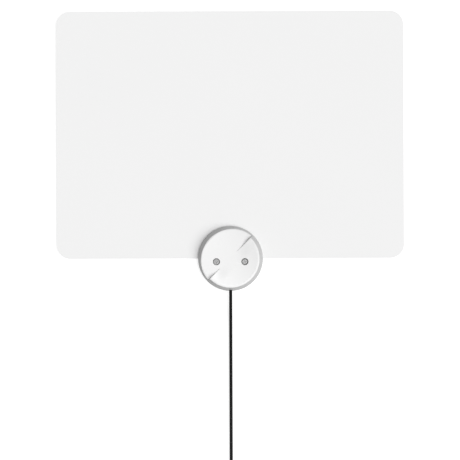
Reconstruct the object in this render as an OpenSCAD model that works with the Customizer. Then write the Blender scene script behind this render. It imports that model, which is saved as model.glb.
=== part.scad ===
// Flat indoor television antenna: a laminated sheet, clamped at the middle of its lower edge in a
// round hub, with a captive coaxial cable that ends in a push-on plug.
// The antenna lies on its back. The origin is the middle of the hub's back face, +Y points up the
// sheet and +Z points out of its front. All sizes are in millimetres.

/* [Sheet] */
// Width of the sheet
sheet_w = 330; // [260:5:400]
// Height of the sheet above the middle of the hub
sheet_h = 235; // [180:5:300]
// Radius of the sheet's corners
sheet_corner_r = 13; // [5:1:30]
// Thickness of each of the two films
film_t = 0.4; // [0.3:0.05:0.6]
// Thickness of the foil between the films
foil_t = 0.1; // [0.05:0.01:0.15]

/* [Radiator] */
// Gap between the two feed strips
feed_gap = 8; // [6:0.5:9]
// Width of each feed strip
feed_w = 6; // [5:0.5:7]
// Height of the foil's lower end above the middle of the hub
feed_y = 2.5; // [1.5:0.5:3]
// Bare margin of film at the left and right of the foil
foil_margin_x = 15; // [8:1:30]
// Bare margin of film above and below the foil's outer ends
foil_margin_y = 32; // [20:2:60]
// Height of each half's narrow inner end
bow_neck = 22; // [12:2:40]

/* [Hub] */
// Outer radius of the hub
hub_r = 30.75; // [29:0.25:36]
// Height of the hub's flat front face above its back
hub_h = 12; // [11.5:0.5:15]
// Height at which the straight side ends and the sloping side begins
side_h = 5; // [4:0.5:6]
// Radius of the front face
face_r = 27; // [25:0.5:28.5]
// Radius of the rounding between the flat face and the sloping side
face_edge_r = 2.2; // [1:0.2:3]
// Wall thickness of the front housing
wall_t = 1.8; // [1.4:0.1:2.2]
// Radius of the cylinder that the dipped half of the face follows
dip_r = 120; // [100:5:200]
// Angle of the line that divides the face, from +X
divide_angle = 45; // [30:5:60]
// Distance of the dividing line from the middle, towards the dipped half
divide_offset = 0.7; // [0:0.1:2]

/* [Back cover] */
// Thickness of the back cover
cover_t = 2; // [1.5:0.25:3]
// Chamfer round the back cover's outer edge
cover_chamfer = 0.5; // [0.2:0.1:0.8]
// Radius of the pegs that locate the sheet
peg_r = 1.5; // [1:0.25:2]
// Distance of the pegs from the middle, left and right
peg_x = 16; // [15:0.5:18]
// Height of the pegs' axes above the middle
peg_y = 14; // [11:0.5:16]
// Height of the pegs above the sheet
peg_stand = 0.8; // [0.4:0.2:1.4]

/* [Screws] */
// Distance between the two screws
screw_spacing = 26.8; // [25:0.2:30]
// Distance of the screws below the middle
screw_drop = 2.85; // [2:0.05:4]
// Radius of the round recess over each screw head
recess_r = 3.35; // [3:0.05:3.8]
// Depth of the seat of the heads below the flat face
recess_depth = 2.8; // [2.4:0.1:3]
// Radius of the screw heads
head_r = 2.7; // [2.3:0.1:2.9]
// Height of the screw heads
head_h = 1.8; // [1.4:0.1:2]
// Radius of the screws' shanks
shank_r = 1.4; // [1.2:0.05:1.5]
// Thickness of the ledge under each head
ledge_t = 2; // [1.5:0.1:2.4]
// Radius of the back cover's screw bosses
boss_r = 2.6; // [2.4:0.1:3]

/* [Circuit] */
// Width of the circuit board
board_w = 18; // [17:0.5:19]
// Length of the circuit board
board_l = 22; // [21:0.5:24]
// Distance of the board's lower edge below the middle
board_drop = 13; // [12.5:0.25:14]
// Thickness of the circuit board
board_t = 1; // [0.8:0.1:1.2]
// Gap between the sheet and the circuit board
board_gap = 0.5; // [0.4:0.1:0.8]
// Radius of the pins that locate the board
pin_r = 0.8; // [0.6:0.1:0.9]
// Thickness of the contact clips' strip
clip_t = 0.2; // [0.15:0.05:0.25]
// Width of the contact clips
clip_w = 3; // [2.4:0.2:3.4]
// Height of the clips' contact point above the middle
clip_y = 6; // [6:0.25:7]
// Height and width of the balun core's two rounded ends
core_h = 4; // [3.6:0.1:4.4]
// Length of the balun core
core_l = 5; // [4:0.25:5.5]
// Distance from one hole of the core to the other
core_pitch = 3.2; // [3:0.1:3.4]
// Radius of the holes in the core
core_hole_r = 1; // [0.9:0.05:1.1]
// Radius of the winding's wire
wire_r = 0.2; // [0.15:0.05:0.2]
// Turns of the winding
wire_turns = 3; // [2:1:3]

/* [Cable] */
// Radius of the cable
cable_r = 1.5; // [1.3:0.1:1.7]
// Radius of the braid under the jacket
braid_r = 1.1; // [1:0.05:1.2]
// Radius of the cable's inner insulation
insulation_r = 0.75; // [0.6:0.05:0.85]
// Radius of the cable's centre conductor
conductor_r = 0.25; // [0.2:0.05:0.35]
// Outer radius of the strain ring crimped on the cable
ring_r = 2.3; // [2.1:0.1:2.8]
// Length of the strain ring
ring_l = 3.5; // [2.5:0.5:4]
// Clearance round the cable where it leaves the hub
notch_clear = 0.2; // [0.1:0.05:0.3]
// Thickness of the straps round the coil
strap_t = 0.6; // [0.4:0.1:1]
// Width of the straps round the coil
strap_w = 5; // [3:0.5:8]

/* [Plug] */
// Outer radius of the plug's metal barrel
barrel_r = 5.5; // [5.3:0.1:6.5]
// Inner radius of the barrel, which grips the socket
socket_r = 4.7; // [4.5:0.05:4.9]
// Length of the barrel
barrel_l = 14; // [12:0.5:18]
// Thickness of the insulating disc in the barrel
disc_t = 3; // [2:0.5:4]
// Radius of the plug's centre pin
plug_pin_r = 0.45; // [0.35:0.05:0.6]
// Radius of the pin's root, which the insulating disc holds
pin_root_r = 0.8; // [0.7:0.05:1]
// Height of the pin's root above the insulating disc
pin_root_stand = 0.3; // [0.2:0.1:0.6]
// Length of the pin beyond the barrel's mouth
pin_stand = 1; // [0:0.5:3]
// Length of the boot behind the barrel
boot_l = 20; // [14:1:26]
// Radius of the boot where it meets the barrel
boot_r = 4.4; // [4:0.1:4.8]

/* [Hidden] */
$fn = 96;

// A length added to cutting tools, so that they run past the face that they cut
past = 1;
// Slack between pieces that are pushed together
slack = 0.1;
// Slack round the screws' shanks in the back cover
thread_slack = 0.05;
// Walls round the pins, pegs and screws that the front housing's posts and sleeves have
post_wall = 0.9;
peg_wall = 1.3;
sleeve_wall = 1.4;
// Shoulder on which the circuit board lies, round each of its pins
pin_shoulder = 0.7;
// Space left over the tips of the pegs and pins
tip_space = 0.4;

// Heights of the layers, from the back
foil_z = cover_t + film_t;
sheet_top = foil_z + foil_t + film_t;
board_z = sheet_top + board_gap;
board_top = board_z + board_t;
cable_z = board_top + braid_r;
seat_z = hub_h - recess_depth;
joint_z = seat_z - ledge_t;

// Places of what repeats left and right
screw_x = screw_spacing / 2;
clip_x = (feed_gap + feed_w) / 2;
post_inset = [2.5, 3];
post_x = board_w / 2 - post_inset[0];
post_y = -board_drop + post_inset[1];
pin_stand_up = 0.8;

// Heights of the radiator's outer and inner ends
bow_y = sheet_h / 2;
bow_reach = sheet_w / 2 - foil_margin_x;

// The balun core stands on the board, below the contact clips
core_rise = 11.5;
core_y = -board_drop + core_rise;
core_z = board_top + core_h / 2;

// The cable's jacket ends short of the board, and each layer under it goes a step further
jacket_y = -board_drop - 3;
braid_y = -board_drop + 1;
insulation_y = braid_y + 1.8;
conductor_y = insulation_y + 1.6;

// Ribs that hold the cable on both sides of the strain ring
rib_t = 1.3;
rib_w = 8;
ring_y = jacket_y - rib_t - slack - ring_l;
RIB_PLACES = [ring_y - slack - rib_t, jacket_y - rib_t];

// The cable's route from the hub to the coil, in x, y and z
exit_stand = 0.25;
exit_y = -hub_r - exit_stand;
CABLE_ROUTE = [
    [0, exit_y, cable_z], [0, -36, 5.4], [0, -42, 5], [0, -48, 4.2], [0, -55, 3.1], [0, -62, 2.1],
    [0, -70, 1.6], [0, -80, 1.5], [0, -95, 1.5], [0, -110, 1.5], [0, -125, 1.5], [0, -140, 1.5],
    [0, -155, 1.5], [0, -170, 1.5], [0, -182, 1.5], [0, -192, 1.7], [0, -201, 2], [0, -210, 2.1]
];
// The cable's route from the coil to the plug
END_ROUTE = [
    [40, -250.5, 11.1], [44, -250.5, 10.8], [48, -250.5, 10], [52, -250.5, 8.8], [56, -250.5, 7.4],
    [60, -250.5, 6.2], [64, -250.5, 5.6], [68, -250.5, 5.5]
];
// The coil: its middle, the radii of its innermost and outermost turns, and its layers
coil_middle = [26.5, -224];
coil_inner = 11.5;
coil_outer = 26.5;
coil_layers = 4;
coil_base = 0.6;
coil_h = coil_layers * 2 * cable_r;
coil_corner_r = 1.4;
// Angles at which the two straps hold the coil
STRAP_ANGLES = [135, 315];

// Where the plug lies, from the end of the cable's route
plug_at = END_ROUTE[len(END_ROUTE) - 1];
plug_wall = 1;

// Points along an arc about a centre, from one angle to another
function arc(centre, r, from, to, steps) = [
    for (i = [0:steps])
        let (a = from + (to - from) * i / steps)
            centre + r * [cos(a), sin(a)]
];

// The side profile of the hub, set in from its outer skin by an amount
function hub_profile(inset) =
    let (
        top = hub_h - inset,
        side = [hub_r - inset, side_h],
        edge = [face_r - inset, top],
        lean = atan2(side[0] - edge[0], edge[1] - side[1]),
        r = max(face_edge_r - inset, 0.4),
        middle = [edge[0] - r * (1 - sin(lean)) / cos(lean), top - r]
    ) concat(
        [[0, 0], [side[0], 0], side],
        arc(middle, r, lean, 90, 10),
        [[0, top]]
    );

// A rectangle with round corners, made of exact arcs
module rounded_rect(w, h, r) {
    square([w - 2 * r, h], center = true);
    square([w, h - 2 * r], center = true);
    for (x = [-1, 1], y = [-1, 1])
        translate([x * (w / 2 - r), y * (h / 2 - r)]) circle(r);
}

// A tube of round section along a list of points, with end faces square to X or Y if it is asked
module swept_tube(route, r, square_ends = false, sides = 8) {
    last = len(route) - 1;
    function ahead(i) =
        let (d = route[min(i + 1, last)] - route[max(i - 1, 0)]) d / norm(d);
    function ring(i) =
        let (
            at_end = square_ends && (i == 0 || i == last),
            t = at_end ? [round(ahead(i)[0]), round(ahead(i)[1]), 0] : ahead(i),
            across = cross([0, 0, 1], t) / norm(cross([0, 0, 1], t)),
            up = cross(t, across)
        ) [
            for (k = [0:sides - 1])
                let (a = 360 * (k + 0.5) / sides)
                    route[i] + r * (across * cos(a) + up * sin(a))
        ];
    points = [for (i = [0:last]) each ring(i)];
    walls = [
        for (i = [0:last - 1], k = [0:sides - 1])
            let (n = (k + 1) % sides)
                [i * sides + k, i * sides + n, (i + 1) * sides + n, (i + 1) * sides + k]
    ];
    polyhedron(
        points,
        concat(
            [[for (k = [sides - 1:-1:0]) k]],
            walls,
            [[for (k = [0:sides - 1]) last * sides + k]]
        ),
        convexity = 4
    );
}

// A cylinder that lies along +Y from one place to another
module rod_y(r, from, to, z) {
    translate([0, from, z]) rotate([-90, 0, 0]) cylinder(r = r, h = to - from);
}

// Holes that both films share: for the pegs, and scallops for the screw bosses
module film_cuts() {
    for (side = [-1, 1]) {
        translate([side * peg_x, peg_y]) circle(peg_r + slack);
        translate([side * screw_x, -screw_drop]) circle(boss_r + slack);
    }
}

module sheet_outline() {
    difference() {
        translate([0, sheet_h / 2]) rounded_rect(sheet_w, sheet_h, sheet_corner_r);
        film_cuts();
    }
}

// One half of the radiator: a feed strip that widens into a fan
module radiator_outline(side) {
    inner = feed_gap / 2;
    outer = inner + feed_w;
    polygon([
        for (p = [
            [inner, feed_y],
            [outer, feed_y],
            [outer, bow_y - bow_neck / 2],
            [bow_reach, foil_margin_y],
            [bow_reach, sheet_h - foil_margin_y],
            [outer, bow_y + bow_neck / 2],
            [inner, bow_y + bow_neck / 2]
        ]) [side * p[0], p[1]]
    ]);
}

module radiator(side) {
    color("silver")
        translate([0, 0, foil_z]) linear_extrude(foil_t) radiator_outline(side);
}

module front_film() {
    color("white")
        difference() {
            translate([0, 0, foil_z]) linear_extrude(foil_t + film_t) sheet_outline();
            for (side = [-1, 1]) {
                translate([0, 0, foil_z - past])
                    linear_extrude(past + foil_t) radiator_outline(side);
                // Window through which the clip meets the foil
                translate([side * clip_x, clip_y, foil_z])
                    cylinder(r = feed_w / 2 - 0.2, h = foil_t + film_t + past);
            }
        }
}

module back_film() {
    color("white")
        translate([0, 0, cover_t]) linear_extrude(film_t) sheet_outline();
}

// The whole hub as one body of revolution, set in by an amount
module hub_body(inset) {
    rotate_extrude() polygon(hub_profile(inset));
}

// The hub's outer form: one half of its face is flat, and the other follows a wide cylinder that
// is level at its middle and dips towards both ends of the dividing line
module hub_form(inset = 0) {
    reach = hub_r + past;
    rotate(divide_angle) {
        intersection() {
            hub_body(inset);
            translate([-reach, -2 * reach + divide_offset - inset, 0])
                cube([2 * reach, 2 * reach, hub_h + past]);
        }
        intersection() {
            hub_body(inset);
            translate([-reach, divide_offset - inset, 0])
                cube([2 * reach, 2 * reach, hub_h + past]);
            translate([0, divide_offset - inset - past, hub_h - dip_r])
                rotate([-90, 0, 0]) cylinder(r = dip_r - inset, h = 2 * reach, $fn = 360);
        }
    }
}

// What stands inside the front housing and is moulded with it
module housing_posts() {
    h = hub_h;
    for (side = [-1, 1]) {
        // Sleeves under the screw recesses
        translate([side * screw_x, -screw_drop, joint_z]) cylinder(r = recess_r + sleeve_wall, h = h);
        // Posts that press on the sheet round its pegs
        translate([side * peg_x, peg_y, sheet_top]) cylinder(r = peg_r + peg_wall, h = h);
        // Posts that hold the circuit board down
        translate([side * post_x, post_y, board_top]) cylinder(r = pin_r + post_wall, h = h);
    }
    // Ribs that close over the cable on both sides of its strain ring
    for (y = RIB_PLACES)
        translate([-rib_w / 2, y, cable_z + slack]) cube([rib_w, rib_t, h]);
}

module front_housing() {
    color("white")
        difference() {
            hub_form();
            difference() {
                hub_form(wall_t);
                housing_posts();
            }
            // Room for the back cover, and above it for the sheet
            translate([-hub_r - past, -hub_r - past, -past])
                cube([2 * (hub_r + past), 2 * (hub_r + past), past + cover_t]);
            translate([-hub_r - past, 0, -past])
                cube([2 * (hub_r + past), hub_r + past, past + sheet_top]);
            for (side = [-1, 1]) {
                translate([side * screw_x, -screw_drop, seat_z])
                    cylinder(r = recess_r, h = recess_depth + past);
                translate([side * screw_x, -screw_drop, joint_z - past])
                    cylinder(r = shank_r + 0.3, h = ledge_t + 2 * past);
                // Blind holes over the pegs and the board's pins
                translate([side * peg_x, peg_y, sheet_top - past])
                    cylinder(r = peg_r + slack, h = past + peg_stand + tip_space);
                translate([side * post_x, post_y, board_top - past])
                    cylinder(r = pin_r + slack, h = past + pin_stand_up + tip_space);
            }
            // Notch for the cable
            rod_y(cable_r + notch_clear, -hub_r - past, jacket_y, cable_z);
            translate([-cable_r - notch_clear, -hub_r - past, 0])
                cube([2 * (cable_r + notch_clear), wall_t + 2 * past, cable_z]);
        }
}

module back_cover() {
    color("white") {
        difference() {
            union() {
                cylinder(r1 = hub_r - cover_chamfer, r2 = hub_r, h = cover_chamfer);
                translate([0, 0, cover_chamfer]) cylinder(r = hub_r, h = cover_t - cover_chamfer);
                for (side = [-1, 1])
                    translate([side * screw_x, -screw_drop, 0]) cylinder(r = boss_r, h = joint_z);
            }
            for (side = [-1, 1])
                translate([side * screw_x, -screw_drop, cover_t])
                    cylinder(r = shank_r + thread_slack, h = joint_z);
        }
        for (side = [-1, 1]) {
            translate([side * peg_x, peg_y, cover_t - past])
                cylinder(r = peg_r, h = past + sheet_top - cover_t + peg_stand);
            translate([side * post_x, post_y, cover_t - past])
                cylinder(r = pin_r + pin_shoulder, h = past + board_z - cover_t);
            translate([side * post_x, post_y, cover_t])
                cylinder(r = pin_r, h = board_top - cover_t + pin_stand_up);
        }
        // Ribs that cradle the cable, and the tongue that closes the notch under it
        tongue_w = 2 * (cable_r + notch_clear - slack);
        tongue_top = min(side_h, cable_z) - 3 * slack;
        difference() {
            union() {
                for (y = RIB_PLACES)
                    translate([-rib_w / 2, y, cover_t - past])
                        cube([rib_w, rib_t, past + cable_z - cover_t]);
                intersection() {
                    cylinder(r = hub_r - slack, h = tongue_top);
                    translate([-tongue_w / 2, -hub_r, cover_t - past])
                        cube([tongue_w, wall_t, hub_h]);
                }
            }
            rod_y(cable_r + thread_slack, -hub_r - past, 0, cable_z);
        }
    }
}

module screw(side) {
    slot_l = head_r * 1.2;
    slot_w = 0.8;
    slot_d = head_h * 0.55;
    color("gray")
        translate([side * screw_x, -screw_drop, seat_z])
            difference() {
                union() {
                    rotate_extrude()
                        polygon(concat(
                            [[0, 0], [head_r, 0]],
                            arc([head_r - 0.7, head_h - 0.7], 0.7, 0, 90, 6),
                            [[0, head_h]]
                        ));
                    translate([0, 0, cover_t + 0.5 - seat_z])
                        cylinder(r = shank_r, h = seat_z - cover_t);
                }
                for (turn = [0, 90])
                    rotate(turn + 20)
                        translate([-slot_l / 2, -slot_w / 2, head_h - slot_d])
                            cube([slot_l, slot_w, head_h]);
            }
}

module circuit_board() {
    color("darkgreen")
        difference() {
            translate([-board_w / 2, -board_drop, board_z]) cube([board_w, board_l, board_t]);
            for (side = [-1, 1])
                translate([side * post_x, post_y, board_z - past])
                    cylinder(r = pin_r + slack, h = board_t + 2 * past);
        }
}

// A strip folded under the board, whose free end rests on the foil
module contact_clip(side) {
    h = board_z - foil_z - foil_t;
    color("gold")
        translate([side * clip_x - clip_w / 2, clip_y, foil_z + foil_t])
            rotate([90, 0, 90]) linear_extrude(clip_w)
                polygon([
                    [-2, h], [2, h], [2, h - clip_t * 0.8], [0, 0], [-1.4, 0], [-1.4, clip_t],
                    [-0.2, clip_t], [1.6, h - clip_t], [-2, h - clip_t]
                ]);
}

// A block with two parallel holes and round sides
module balun_core() {
    color("dimgray")
        translate([0, core_y - core_l / 2, core_z])
            rotate([-90, 0, 0])
                difference() {
                    union() {
                        for (side = [-1, 1])
                            translate([side * core_pitch / 2, 0, 0])
                                cylinder(r = core_h / 2, h = core_l);
                        translate([-core_pitch / 2, -core_h / 2, 0])
                            cube([core_pitch, core_h, core_l]);
                    }
                    for (side = [-1, 1])
                        translate([side * core_pitch / 2, 0, -past])
                            cylinder(r = core_hole_r, h = core_l + 2 * past);
                }
}

// The wire's path: from the board, round through both holes, and down to the board again
function winding_path() =
    let (
        bend_r = core_pitch / 2,
        run = core_l + 0.6,
        foot = [0, run / 2 + bend_r + 1.2, wire_r - core_h / 2],
        steps = 12 * wire_turns + 6,
        rise = 2.1 * wire_r
    ) concat(
        [foot],
        [
            for (i = [0:steps])
                let (a = 90 + 30 * i)
                    [
                        bend_r * cos(a),
                        (sin(a) > -0.01 ? 1 : -1) * run / 2 + bend_r * sin(a),
                        rise * (i - steps / 2) / 12
                    ]
        ],
        [[foot[0], -foot[1], foot[2]]]
    );

module balun_winding() {
    color("chocolate")
        translate([0, core_y, core_z]) swept_tube(winding_path(), wire_r);
}

module chip_capacitor() {
    color("tan")
        translate([-1, clip_y - 1, board_top]) cube([2, 1.25, 0.7]);
}

// The stretch of the cable inside the hub, as nested tubes
module cable_layer(outer, inner, to) {
    difference() {
        rod_y(outer, exit_y, to, cable_z);
        if (inner > 0) rod_y(inner, exit_y - past, to + past, cable_z);
    }
}

module cable_tail() {
    color("black") cable_layer(cable_r, braid_r, jacket_y);
}

module cable_braid() {
    color("silver") cable_layer(braid_r, insulation_r, braid_y);
}

module cable_core() {
    color("white") cable_layer(insulation_r, conductor_r, insulation_y);
}

module centre_conductor() {
    color("orange") cable_layer(conductor_r, 0, conductor_y);
}

module strain_ring() {
    color("silver")
        difference() {
            rod_y(ring_r, ring_y, ring_y + ring_l, cable_z);
            rod_y(cable_r, ring_y - past, ring_y + ring_l + past, cable_z);
        }
}

// Solder that joins the conductor's tip and both sides of the braid to the board
module solder_joints() {
    tip_r = cable_z - board_top + conductor_r + 0.2;
    color("lightgray")
        difference() {
            union() {
                translate([0, conductor_y - 0.4, board_top]) sphere(tip_r * 0.99);
                for (side = [-1, 1])
                    translate([side * braid_r, (braid_y - board_drop) / 2, board_top]) sphere(0.9);
            }
            translate([-board_w / 2, -board_drop - past, board_top - 3]) cube([board_w, board_l, 3]);
            rod_y(braid_r, exit_y, braid_y, cable_z);
            rod_y(insulation_r, braid_y - past, insulation_y, cable_z);
            rod_y(conductor_r, braid_y, conductor_y, cable_z);
        }
}

module antenna_cable() {
    color("black") swept_tube(CABLE_ROUTE, cable_r, true);
}

module cable_end() {
    color("black") swept_tube(END_ROUTE, cable_r, true);
}

// The outline of the wound coil's section, grown by an amount
module coil_section(grow) {
    w = coil_outer - coil_inner + 2 * cable_r + 2 * grow;
    translate([(coil_inner + coil_outer) / 2, coil_base + coil_h / 2])
        rounded_rect(w, coil_h + 2 * grow, coil_corner_r + grow);
}

// The wound coil, with straight lengths where the cable runs into and out of it
module cable_coil() {
    into = CABLE_ROUTE[len(CABLE_ROUTE) - 1];
    out = END_ROUTE[0];
    color("black") {
        translate(coil_middle) rotate_extrude() coil_section(0);
        translate([into[0], coil_middle[1], into[2]])
            rotate([-90, 0, 0]) cylinder(r = cable_r - slack / 2, h = into[1] - coil_middle[1]);
        translate([coil_middle[0], out[1], out[2]])
            rotate([0, 90, 0]) cylinder(r = cable_r - slack / 2, h = out[0] - coil_middle[0]);
    }
}

// Two straps round the coil, opposite each other
module coil_ties() {
    spread = strap_w / coil_outer * 180 / PI;
    color("black")
        translate(coil_middle)
            for (at = STRAP_ANGLES)
                rotate(at - spread / 2)
                    rotate_extrude(angle = spread)
                        difference() {
                            coil_section(strap_t);
                            coil_section(0);
                        }
}

// The plug lies along +X, with its mouth away from the coil
module along_plug(from) {
    translate(plug_at + [from, 0, 0]) rotate([0, 90, 0]) children();
}

// A tapered boot with rings, so that it bends evenly, and a plain grip in front of them
module plug_boot() {
    rings = 5;
    ring_cut = 0.5;
    grip_l = 6;
    shoulder_l = 2;
    shoulder_r = boot_r - 0.8;
    tail_r = cable_r + 1;
    ring_step = (boot_l - grip_l - shoulder_l) / rings;
    ring_l = ring_step * 0.6;
    function taper(z) = tail_r + (shoulder_r - tail_r) * z / (boot_l - grip_l);
    color("black")
        along_plug(0)
            rotate_extrude()
                polygon(concat(
                    [[0, 0]],
                    [
                        for (i = [0:rings - 1])
                            let (z = i * ring_step, r = taper(z))
                                each [
                                    [r, z], [r, z + ring_l], [r - ring_cut, z + ring_l],
                                    [r - ring_cut, z + ring_step]
                                ]
                    ],
                    [
                        [shoulder_r, boot_l - grip_l - shoulder_l], [boot_r, boot_l - grip_l],
                        [boot_r, boot_l], [0, boot_l]
                    ]
                ));
}

module plug_barrel() {
    slit_w = 0.7;
    slit_l = 6;
    along_plug(boot_l)
        color("silver")
            difference() {
                rotate_extrude()
                    polygon([
                        [0, 0], [barrel_r - 0.5, 0], [barrel_r, 0.5],
                        [barrel_r, barrel_l - slit_l - 1.5], [barrel_r - 0.35, barrel_l - slit_l],
                        [barrel_r - 0.35, barrel_l - 0.4], [barrel_r - 0.6, barrel_l],
                        [socket_r, barrel_l], [socket_r, plug_wall], [0, plug_wall]
                    ]);
                translate([0, 0, -past]) cylinder(r = 2 * pin_root_r, h = plug_wall + 2 * past);
                for (turn = [45, 135])
                    rotate(turn)
                        translate([-barrel_r - past, -slit_w / 2, barrel_l - slit_l])
                            cube([2 * (barrel_r + past), slit_w, slit_l + past]);
            }
}

module plug_insulator() {
    color("white")
        along_plug(boot_l + plug_wall)
            difference() {
                cylinder(r = socket_r, h = disc_t);
                translate([0, 0, -past]) cylinder(r = pin_root_r, h = disc_t + 2 * past);
            }
}

module plug_pin() {
    root_l = plug_wall + disc_t + pin_root_stand;
    tip = barrel_l + pin_stand;
    tip_taper = 0.3;
    color("gold")
        along_plug(boot_l)
            rotate_extrude($fn = 48)
                polygon([
                    [0, 0], [pin_root_r, 0], [pin_root_r, root_l], [plug_pin_r, root_l],
                    [plug_pin_r, tip - tip_taper], [plug_pin_r / 2, tip], [0, tip]
                ]);
}

front_film();
radiator(-1);  // radiator_left
radiator(1);  // radiator_right
back_film();
front_housing();
back_cover();
screw(-1);  // screw_left
screw(1);  // screw_right
circuit_board();
contact_clip(-1);  // contact_clip_left
contact_clip(1);  // contact_clip_right
balun_core();
balun_winding();
chip_capacitor();
cable_tail();
strain_ring();
cable_braid();
cable_core();
centre_conductor();
solder_joints();
antenna_cable();
cable_coil();
coil_ties();
cable_end();
plug_boot();
plug_barrel();
plug_insulator();
plug_pin();
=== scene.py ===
# The looks of a flat indoor television antenna, lying on its back and seen from straight above.
# Sizes are in millimetres unless they say otherwise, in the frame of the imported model: the origin
# is the middle of the hub's back face, +Y points up the sheet and +Z points out of its front.
import math

import bmesh
import bpy
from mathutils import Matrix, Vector


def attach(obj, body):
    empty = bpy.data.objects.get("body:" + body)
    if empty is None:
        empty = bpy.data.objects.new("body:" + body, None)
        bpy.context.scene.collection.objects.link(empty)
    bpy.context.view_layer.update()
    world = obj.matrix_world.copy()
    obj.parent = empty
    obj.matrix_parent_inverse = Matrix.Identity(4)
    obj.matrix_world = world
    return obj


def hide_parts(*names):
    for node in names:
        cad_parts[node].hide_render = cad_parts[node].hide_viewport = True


# A millimetre in metres
MM = 0.001

# The cable, its route and its coil, as in the part's source
CABLE_D = 3
CABLE_ROUTE = [
    (0, -31, 5.5), (0, -36, 5.4), (0, -42, 5), (0, -48, 4.2), (0, -55, 3.1), (0, -62, 2.1),
    (0, -70, 1.6), (0, -80, 1.5), (0, -95, 1.5), (0, -110, 1.5), (0, -125, 1.5), (0, -140, 1.5),
    (0, -155, 1.5), (0, -170, 1.5), (0, -182, 1.5), (0, -192, 1.7), (0, -201, 2), (0, -210, 2.1),
]
END_ROUTE = [
    (40, -250.5, 11.1), (44, -250.5, 10.8), (48, -250.5, 10), (52, -250.5, 8.8), (56, -250.5, 7.4),
    (60, -250.5, 6.2), (64, -250.5, 5.6), (68, -250.5, 5.5),
]
COIL_MIDDLE = (26.5, -224)
COIL_INNER = 11.5
COIL_OUTER = 26.5
COIL_LAYERS = 4
COIL_FIRST_Z = 2.1
# Points in one turn, and the share of a turn from which it moves over to the next one
TURN_POINTS = 24
STEP_FROM = 0.82
# How finely the curve is drawn round its section and between its points, and its smoothness
CURVE_ROUND = 6
CURVE_STEPS = 3
CURVE_ORDER = 4

# The hub's outer form, as in the part's source
HUB_R = 30.75
HUB_H = 12
SIDE_H = 5
FACE_R = 27
DIP_R = 120
DIVIDE_DEG = 45
DIVIDE_OFFSET = 0.7

# The radius of the face's round edge, on the dipped half and on the flat half
EDGE_DIPPED_R = 1.3
EDGE_FLAT_R = 2.4
# The step is blended away in the middle of the face, over a strip of the flat half: fully up to
# one distance along it and not at all beyond another, for its upper and its lower end
BLEND_UPPER = (9, 22)
BLEND_LOWER = (14, 24)
BLEND_W = 11
# How far the moulded skin lies inside the solid's
SKIN = 0.01
# The skin's mesh: its rays, its rings on the face and where they start and end, its rings from
# there to the side, and how far it goes on below the hub
RAYS = 180
RINGS = 40
RINGS_START = 1.5
RINGS_END = FACE_R - 3.5
EDGE_RINGS = 28
FOOT_Z = -1
# Points closer than this are one, and edges that bend more than this show as sharp
WELD = 1e-5
SHARP_DEG = 28

# The photograph: its frame in pixels, the hub's middle in it, its scale and its slight turn
FRAME_PX = 460
HUB_PX = (230.55, 258.4)
MM_PER_PX = 0.9505
TURN_DEG = -0.21
# The height of the sheet's face, the camera's distance from it and the camera's sensor
SHEET_FACE_Z = 2.9
CAMERA_DISTANCE = 900
SENSOR_MM = 36
# How far the camera sees, in metres
CAMERA_REACH_M = 20

# Where a noise's values mostly start and end
NOISE_START = 0.3
NOISE_END = 0.7
# Painted shade on the front housing's face, darker towards the upper right: its greys at the lower
# left and the upper right, and the direction from one to the other, from +X
FACE_PAINTED_SHADE_GREYS = (0.93, 0.75)
FACE_SHADE_TURN_DEG = 30
# Painted shade: the grey of its side and of all that slopes or stands upright, which starts and is
# full where the surface faces up by these shares
SIDE_PAINTED_SHADE_GREY = 0.49
SIDE_SHADE_START = 0.85
SIDE_SHADE_FULL = 0.5

# The lamp: its angle from straight above, the side that it stands at, its apparent width and its
# strength
LAMP_TILT_DEG = 34
LAMP_SIDE_DEG = -16
LAMP_WIDTH_DEG = 60
LAMP_STRENGTH = 2.6
# The room's light on the object, and its brightness where it is seen directly
ROOM_STRENGTH = 0.35
ROOM_SEEN = 1
# The floor: its side in metres, its own grey and the light that it gives where it is seen
FLOOR_SIZE_M = 12
FLOOR_GREY = 0.5
FLOOR_GLOW = 0.68
FLOOR_ROUGH = 0.9
# The floor lies this little under the object, so that no two faces lie in one plane
FLOOR_GAP = 0.05

# Which pieces have which material
LOOKS = {
    "film": ["front_film", "back_film"],
    "foil": ["radiator_left", "radiator_right"],
    "cover": ["back_cover"],
    "steel": ["screw_left", "screw_right", "strain_ring"],
    "board": ["circuit_board"],
    "gilt": ["contact_clip_left", "contact_clip_right", "plug_pin"],
    "ferrite": ["balun_core"],
    "enamel": ["balun_winding"],
    "capacitor": ["chip_capacitor"],
    "jacket": ["cable_tail"],
    "nickel": ["cable_braid", "plug_barrel"],
    "insulation": ["cable_core", "plug_insulator"],
    "copper": ["centre_conductor"],
    "solder": ["solder_joints"],
    "strap": ["coil_ties"],
    "boot": ["plug_boot"],
}

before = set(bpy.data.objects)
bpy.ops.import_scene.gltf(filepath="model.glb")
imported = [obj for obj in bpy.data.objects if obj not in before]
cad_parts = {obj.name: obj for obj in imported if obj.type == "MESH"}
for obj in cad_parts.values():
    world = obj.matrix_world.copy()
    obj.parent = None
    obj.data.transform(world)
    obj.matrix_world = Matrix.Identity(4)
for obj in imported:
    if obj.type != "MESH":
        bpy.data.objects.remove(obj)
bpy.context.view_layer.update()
scene = bpy.context.scene
# The materials that are made below, by name
materials = {}


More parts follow.
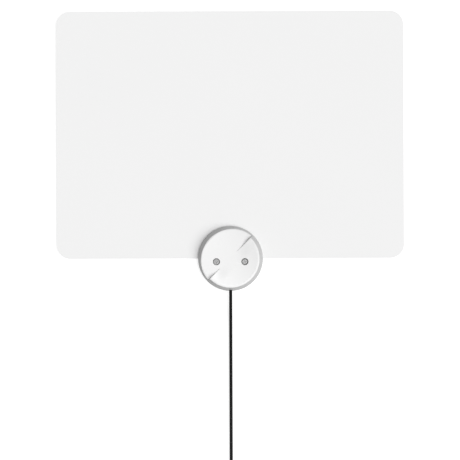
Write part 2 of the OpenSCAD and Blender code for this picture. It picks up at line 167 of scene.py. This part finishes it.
def make_camera():
    """Looks straight down, so that the sheet and the hub stand where the photograph has them."""
    turn = math.radians(TURN_DEG)
    right = (FRAME_PX / 2 - HUB_PX[0]) * MM_PER_PX
    up = (HUB_PX[1] - FRAME_PX / 2) * MM_PER_PX
    x = right * math.cos(turn) - up * math.sin(turn)
    y = right * math.sin(turn) + up * math.cos(turn)
    data = bpy.data.cameras.new("camera")
    data.sensor_width = SENSOR_MM
    data.lens = SENSOR_MM * CAMERA_DISTANCE / (FRAME_PX * MM_PER_PX)
    data.clip_end = CAMERA_REACH_M
    camera = bpy.data.objects.new("camera", data)
    camera.location = (x * MM, y * MM, (SHEET_FACE_Z + CAMERA_DISTANCE) * MM)
    camera.rotation_euler = (0, 0, turn)
    scene.collection.objects.link(camera)
    scene.camera = camera


def ease(value, start, end):
    """Goes smoothly from nought to one while a value goes from start to end."""
    share = min(1, max(0, (value - start) / (end - start)))
    return share * share * (3 - 2 * share)


def coil_points():
    """The turns of the coil, from the middle of its left side, inwards and outwards by layers.
    Each turn keeps its radius for most of the way round, then steps to the next one. The last one
    ends after a quarter, at the coil's lower side."""
    rows = round((COIL_OUTER - COIL_INNER) / CABLE_D) + 1
    turns = []
    for layer in range(COIL_LAYERS):
        radii = [COIL_OUTER - CABLE_D * i for i in range(rows)]
        if layer % 2:
            radii.reverse()
        turns += [(r, COIL_FIRST_Z + CABLE_D * layer) for r in radii]
    points = []
    for i, (r, z) in enumerate(turns):
        last = i == len(turns) - 1
        next_r, next_z = turns[i] if last else turns[i + 1]
        count = TURN_POINTS // 4 if last else TURN_POINTS
        for k in range(count):
            share = k / TURN_POINTS
            moved = ease(share, STEP_FROM, 1)
            a = math.pi + 2 * math.pi * share
            here = r + (next_r - r) * moved
            points.append((
                COIL_MIDDLE[0] + here * math.cos(a),
                COIL_MIDDLE[1] + here * math.sin(a),
                z + (next_z - z) * moved,
            ))
    points.append((COIL_MIDDLE[0], COIL_MIDDLE[1] - COIL_OUTER, points[-1][2]))
    return points


def make_cable():
    """The free cable from the hub to its plug, as one smooth round curve."""
    points = [Vector(p) * MM for p in CABLE_ROUTE + coil_points() + END_ROUTE]
    data = bpy.data.curves.new("cable", "CURVE")
    data.dimensions = "3D"
    data.bevel_depth = 1
    data.bevel_resolution = CURVE_ROUND
    data.resolution_u = CURVE_STEPS
    data.use_fill_caps = True
    spline = data.splines.new("NURBS")
    spline.points.add(len(points) - 1)
    for point, place in zip(spline.points, points):
        point.co = (*place, 1)
        point.radius = CABLE_D / 2 * MM
    spline.order_u = CURVE_ORDER
    spline.use_endpoint_u = True
    cable = bpy.data.objects.new("cable", data)
    scene.collection.objects.link(cable)
    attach(cable, "root")
    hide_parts("antenna_cable", "cable_coil", "cable_end")
    return cable


def face_height(x, y, dipped):
    """The height of the hub's face before its edge is rounded."""
    turn = math.radians(DIVIDE_DEG)
    along = x * math.cos(turn) + y * math.sin(turn)
    across = x * math.sin(turn) - y * math.cos(turn) + DIVIDE_OFFSET
    dip = DIP_R - math.sqrt(DIP_R ** 2 - along ** 2)
    if not dipped:
        ends = BLEND_UPPER if along > 0 else BLEND_LOWER
        dip *= (1 - ease(across, 0, BLEND_W)) * (1 - ease(abs(along), *ends))
    return HUB_H - dip


def skin_height(x, y, dipped):
    """The height of the hub's skin: its face, a round edge of one radius, and the sloping side."""
    lean = math.atan2(HUB_R - FACE_R, HUB_H - SIDE_H)
    top = face_height(x, y, dipped)
    round_r = EDGE_DIPPED_R if dipped else EDGE_FLAT_R
    out = math.hypot(x, y)
    edge = HUB_R - (top - SIDE_H) * math.tan(lean)
    bend = edge - round_r * (1 - math.sin(lean)) / math.cos(lean)
    if out <= bend:
        return top
    if out < bend + round_r * math.cos(lean):
        return top - round_r + math.sqrt(round_r ** 2 - (out - bend) ** 2)
    return SIDE_H + (HUB_R - out) / math.tan(lean)


def skin_solid():
    """The hub's outer form as a closed solid. Its rays start from a point on the line that divides
    the face, and two of them lie on that line and are doubled, with the step between them."""
    turn = math.radians(DIVIDE_DEG)
    start = (-DIVIDE_OFFSET * math.sin(turn), DIVIDE_OFFSET * math.cos(turn))
    inner = [RINGS_START + (RINGS_END - RINGS_START) * i / (RINGS - 1) for i in range(RINGS)]
    rim = [RINGS_END + (HUB_R - RINGS_END) * (i + 1) / EDGE_RINGS for i in range(EDGE_RINGS)]
    mesh = bmesh.new()
    middle = mesh.verts.new((*start, face_height(*start, False)))
    bottom = mesh.verts.new((0, 0, FOOT_Z))
    rays = []
    for dipped in (True, False):
        for i in range(RAYS // 2 + 1):
            a = turn + math.pi * (2 * i / RAYS + (0 if dipped else 1))
            d = (math.cos(a), math.sin(a))
            lean = start[0] * d[0] + start[1] * d[1]
            ray = [middle]
            for out in inner + rim:
                t = math.sqrt(lean ** 2 - DIVIDE_OFFSET ** 2 + out ** 2) - lean
                x, y = start[0] + t * d[0], start[1] + t * d[1]
                ray.append(mesh.verts.new((x, y, skin_height(x, y, dipped))))
            x, y = ray[-1].co.x, ray[-1].co.y
            ray += [mesh.verts.new((x, y, z)) for z in (SIDE_H / 2, FOOT_Z)]
            ray.append(bottom)
            rays.append(ray)
    for near, far in zip(rays, rays[1:] + rays[:1]):
        for i in range(len(near) - 1):
            corners = [near[i], near[i + 1], far[i + 1], far[i]]
            mesh.faces.new(list(dict.fromkeys(corners)))
    bmesh.ops.remove_doubles(mesh, verts=mesh.verts, dist=WELD)
    bmesh.ops.recalc_face_normals(mesh, faces=mesh.faces)
    share = (HUB_R - SKIN) / HUB_R
    for v in mesh.verts:
        v.co = Vector((v.co.x * share, v.co.y * share, v.co.z - SKIN)) * MM
    data = bpy.data.meshes.new("skin")
    mesh.to_mesh(data)
    mesh.free()
    return bpy.data.objects.new("skin", data)


def make_housing():
    """The front housing with a round edge all the way round its face: the solid's own inside and
    holes, cut to the smooth outer form."""
    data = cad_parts["front_housing"].data.copy()
    housing = bpy.data.objects.new("housing", data)
    scene.collection.objects.link(housing)
    skin = skin_solid()
    scene.collection.objects.link(skin)
    cut = housing.modifiers.new("cut", "BOOLEAN")
    cut.operation = "INTERSECT"
    cut.solver = "EXACT"
    cut.object = skin
    graph = bpy.context.evaluated_depsgraph_get()
    shaped = bpy.data.meshes.new_from_object(housing.evaluated_get(graph))
    housing.modifiers.clear()
    housing.data = shaped
    bpy.data.objects.remove(skin)
    shaped.shade_smooth()
    shaped.set_sharp_from_angle(angle=math.radians(SHARP_DEG))
    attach(housing, "root")
    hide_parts("front_housing")
    return housing


def grey(level):
    """A neutral colour of one brightness."""
    return (level, level, level)


class Nodes:
    """The nodes of a material or of the world, and short ways to add to them."""

    def __init__(self, owner, shader="Principled BSDF"):
        owner.use_nodes = True
        self.tree = owner.node_tree
        self.shader = self.tree.nodes[shader]

    def set(self, **values):
        """Sets sockets of the shader, with a low line for each space in their names."""
        for name, value in values.items():
            self.shader.inputs[name.replace("_", " ")].default_value = value

    def add(self, kind, **values):
        """Adds a node and sets its sockets or properties."""
        node = self.tree.nodes.new(kind)
        for name, value in values.items():
            if name in node.inputs:
                node.inputs[name].default_value = value
            else:
                setattr(node, name, value)
        return node

    def join(self, source, target):
        """Joins a node's output to another node's input."""
        self.tree.links.new(source, target)

    def feed(self, source, socket):
        """Joins a value to one of the shader's sockets."""
        self.join(source, self.shader.inputs[socket])

    def noise(self, scale, detail=2, roughness=0.55, scales=(1, 1, 1)):
        """A noise fixed to the object, with one scale in all and one more along each axis."""
        place = self.add("ShaderNodeTexCoord")
        mapping = self.add("ShaderNodeMapping", Scale=scales)
        noise = self.add("ShaderNodeTexNoise", Scale=scale, Detail=detail, Roughness=roughness)
        self.join(place.outputs["Object"], mapping.inputs["Vector"])
        self.join(mapping.outputs["Vector"], noise.inputs["Vector"])
        return noise.outputs["Fac"]

    def span(self, value, start, end, low=0, high=1, kind="LINEAR"):
        """A number that goes from low to high while a value goes from start to end."""
        span = self.add("ShaderNodeMapRange", interpolation_type=kind)
        ends = {"From Min": start, "From Max": end, "To Min": low, "To Max": high}
        for name, number in ends.items():
            span.inputs[name].default_value = number
        self.join(value, span.inputs["Value"])
        return span.outputs["Result"]

    def mix(self, share):
        """A mix of two colours, to be set or joined to A and B."""
        mix = self.add("ShaderNodeMix", data_type="RGBA")
        self.join(share, mix.inputs["Factor"])
        return mix

    def blend(self, noise, low, high):
        """A colour that goes from one to another with a noise."""
        ramp = self.add("ShaderNodeValToRGB")
        first, last = ramp.color_ramp.elements
        first.color = (*low, 1)
        last.color = (*high, 1)
        first.position = NOISE_START
        last.position = NOISE_END
        self.join(noise, ramp.inputs["Fac"])
        return ramp.outputs["Color"]

    def vary(self, noise, low, high, rough):
        """Lets the shader's colour and roughness go from one value to another with a noise."""
        self.feed(self.blend(noise, low, high), "Base Color")
        self.feed(self.span(noise, NOISE_START, NOISE_END, *rough), "Roughness")

    def bump(self, height, strength, distance):
        """Small heights in the surface, with their full height in metres."""
        bump = self.add("ShaderNodeBump", Strength=strength, Distance=distance)
        self.join(height, bump.inputs["Height"])
        self.feed(bump.outputs["Normal"], "Normal")

    def seen_directly(self):
        """One for rays from the camera and for mirrored rays, and nought for all others."""
        path = self.add("ShaderNodeLightPath")
        seen = self.add("ShaderNodeMath", operation="MAXIMUM")
        self.join(path.outputs["Is Camera Ray"], seen.inputs[0])
        self.join(path.outputs["Is Glossy Ray"], seen.inputs[1])
        return seen.outputs["Value"]


def new_material(name):
    """A new material, kept under its name, and its nodes."""
    materials[name] = bpy.data.materials.new(name)
    return Nodes(materials[name])


def plastic(name, low, high, rough, grain, depth, cloud=14, **sockets):
    """A moulded plastic: slow clouds in its colour and gloss, and a fine grain."""
    m = new_material(name)
    m.vary(m.noise(cloud), low, high, rough)
    m.bump(m.noise(grain), strength=0.4, distance=depth)
    m.set(**sockets)


def metal(name, low, high, rough, scales=(1, 1, 1)):
    """A plated or brushed metal: fine marks, which unequal scales draw out into scratches."""
    m = new_material(name)
    marks = m.noise(900, detail=3, roughness=0.6, scales=scales)
    m.vary(marks, low, high, rough)
    m.bump(marks, strength=0.5, distance=2e-6)
    m.set(Metallic=1)


def woven(name, low, high):
    """A woven strap: fine ribs of thread."""
    m = new_material(name)
    place = m.add("ShaderNodeTexCoord")
    ribs = m.add("ShaderNodeTexWave", Scale=900, Distortion=1.5, Detail=2)
    m.join(place.outputs["Object"], ribs.inputs["Vector"])
    m.feed(m.blend(ribs.outputs["Fac"], low, high), "Base Color")
    m.bump(ribs.outputs["Fac"], strength=0.8, distance=1e-4)
    m.set(Roughness=0.85)


def moulding():
    """The smooth white of the front housing, with painted shade: its face darkens slowly from the
    lower left to the upper right, and what slopes or stands upright is painted a light grey of
    shade."""
    m = new_material("moulding")
    place = m.add("ShaderNodeTexCoord")
    turn = (0, 0, math.radians(FACE_SHADE_TURN_DEG))
    turned = m.add("ShaderNodeMapping", vector_type="TEXTURE", Rotation=turn)
    m.join(place.outputs["Object"], turned.inputs["Vector"])
    along = m.add("ShaderNodeSeparateXYZ")
    m.join(turned.outputs["Vector"], along.inputs["Vector"])
    # Painted shade: the face darkens from the lower left to the upper right.
    face = m.mix(m.span(along.outputs["X"], -FACE_R * MM, FACE_R * MM))
    face.inputs["A"].default_value = (*grey(FACE_PAINTED_SHADE_GREYS[0]), 1)
    face.inputs["B"].default_value = (*grey(FACE_PAINTED_SHADE_GREYS[1]), 1)
    facing = m.add("ShaderNodeSeparateXYZ")
    m.join(place.outputs["Normal"], facing.inputs["Vector"])
    # Painted shade: what slopes or stands upright turns a light grey.
    whole = m.mix(m.span(facing.outputs["Z"], SIDE_SHADE_START, SIDE_SHADE_FULL, kind="SMOOTHSTEP"))
    m.join(face.outputs["Result"], whole.inputs["A"])
    whole.inputs["B"].default_value = (*grey(SIDE_PAINTED_SHADE_GREY), 1)
    m.feed(whole.outputs["Result"], "Base Color")
    m.bump(m.noise(3200), strength=0.3, distance=2e-6)
    m.set(Roughness=0.38, Specular_IOR_Level=0.3)


def make_materials():
    """The materials of all the pieces."""
    plastic(
        "film", grey(0.846), grey(0.854), rough=(0.7, 0.76), grain=2500, depth=3e-6, cloud=9,
        Specular_IOR_Level=0.3,
    )
    moulding()
    plastic("cover", grey(0.86), grey(0.88), rough=(0.5, 0.6), grain=1500, depth=2e-5)
    plastic(
        "jacket", grey(0.005), grey(0.008), rough=(0.5, 0.6), grain=1800, depth=8e-6, cloud=60,
        Specular_IOR_Level=0.07,
    )
    plastic("boot", grey(0.014), grey(0.02), rough=(0.45, 0.55), grain=1600, depth=1e-5, cloud=60)
    ivory = ((0.8, 0.8, 0.77), (0.84, 0.84, 0.81))
    plastic("insulation", *ivory, rough=(0.4, 0.5), grain=1500, depth=4e-6)
    plastic("ferrite", grey(0.03), grey(0.05), rough=(0.55, 0.7), grain=1200, depth=2e-5, cloud=300)
    green = ((0.01, 0.09, 0.03), (0.015, 0.12, 0.04))
    plastic("board", *green, rough=(0.25, 0.35), grain=2000, depth=4e-6)
    brown = ((0.3, 0.2, 0.12), (0.36, 0.25, 0.15))
    plastic("capacitor", *brown, rough=(0.4, 0.5), grain=1500, depth=4e-6)
    metal("foil", grey(0.78), grey(0.84), rough=(0.3, 0.4), scales=(1, 20, 1))
    metal("steel", grey(0.26), grey(0.34), rough=(0.45, 0.55))
    metal("nickel", grey(0.4), grey(0.48), rough=(0.16, 0.26), scales=(1, 12, 12))
    metal("solder", grey(0.6), grey(0.7), rough=(0.2, 0.3))
    metal("gilt", (0.78, 0.56, 0.24), (0.84, 0.62, 0.3), rough=(0.2, 0.3))
    metal("copper", (0.72, 0.34, 0.18), (0.8, 0.4, 0.22), rough=(0.25, 0.35))
    metal("enamel", (0.42, 0.13, 0.05), (0.5, 0.17, 0.07), rough=(0.2, 0.3))
    woven("strap", grey(0.012), grey(0.04))


def dress(cable, housing):
    """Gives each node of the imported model, the cable and the housing their materials."""
    for look, names in LOOKS.items():
        for name in names:
            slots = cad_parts[name].data.materials
            slots.clear()
            slots.append(materials[look])
    cable.data.materials.append(materials["jacket"])
    housing.data.materials.clear()
    housing.data.materials.append(materials["moulding"])


def make_floor():
    """A pale floor that looks white to the camera and keeps the object's shadow."""
    bpy.ops.mesh.primitive_plane_add(size=FLOOR_SIZE_M, location=(0, 0, -FLOOR_GAP * MM))
    floor = bpy.context.object
    floor.name = "floor"
    m = new_material("floor")
    m.set(Base_Color=(*grey(FLOOR_GREY), 1), Roughness=FLOOR_ROUGH, Emission_Color=(1, 1, 1, 1))
    m.feed(m.span(m.seen_directly(), 0, 1, 0, FLOOR_GLOW), "Emission Strength")
    floor.data.materials.append(materials["floor"])


def make_room():
    """A dim pale room that looks white where it is seen directly."""
    world = bpy.data.worlds.new("room")
    scene.world = world
    m = Nodes(world, "Background")
    m.set(Color=(1, 1, 1, 1))
    m.feed(m.span(m.seen_directly(), 0, 1, ROOM_STRENGTH, ROOM_SEEN), "Strength")


def make_lamp():
    """One wide soft sun."""
    data = bpy.data.lights.new("key", "SUN")
    data.energy = LAMP_STRENGTH
    data.angle = math.radians(LAMP_WIDTH_DEG)
    lamp = bpy.data.objects.new("key", data)
    lamp.rotation_euler = (0, math.radians(LAMP_TILT_DEG), math.radians(LAMP_SIDE_DEG))
    scene.collection.objects.link(lamp)


make_camera()
cable = make_cable()
housing = make_housing()
make_materials()
dress(cable, housing)
make_floor()
make_room()
make_lamp()
scene.view_settings.view_transform = "Standard"
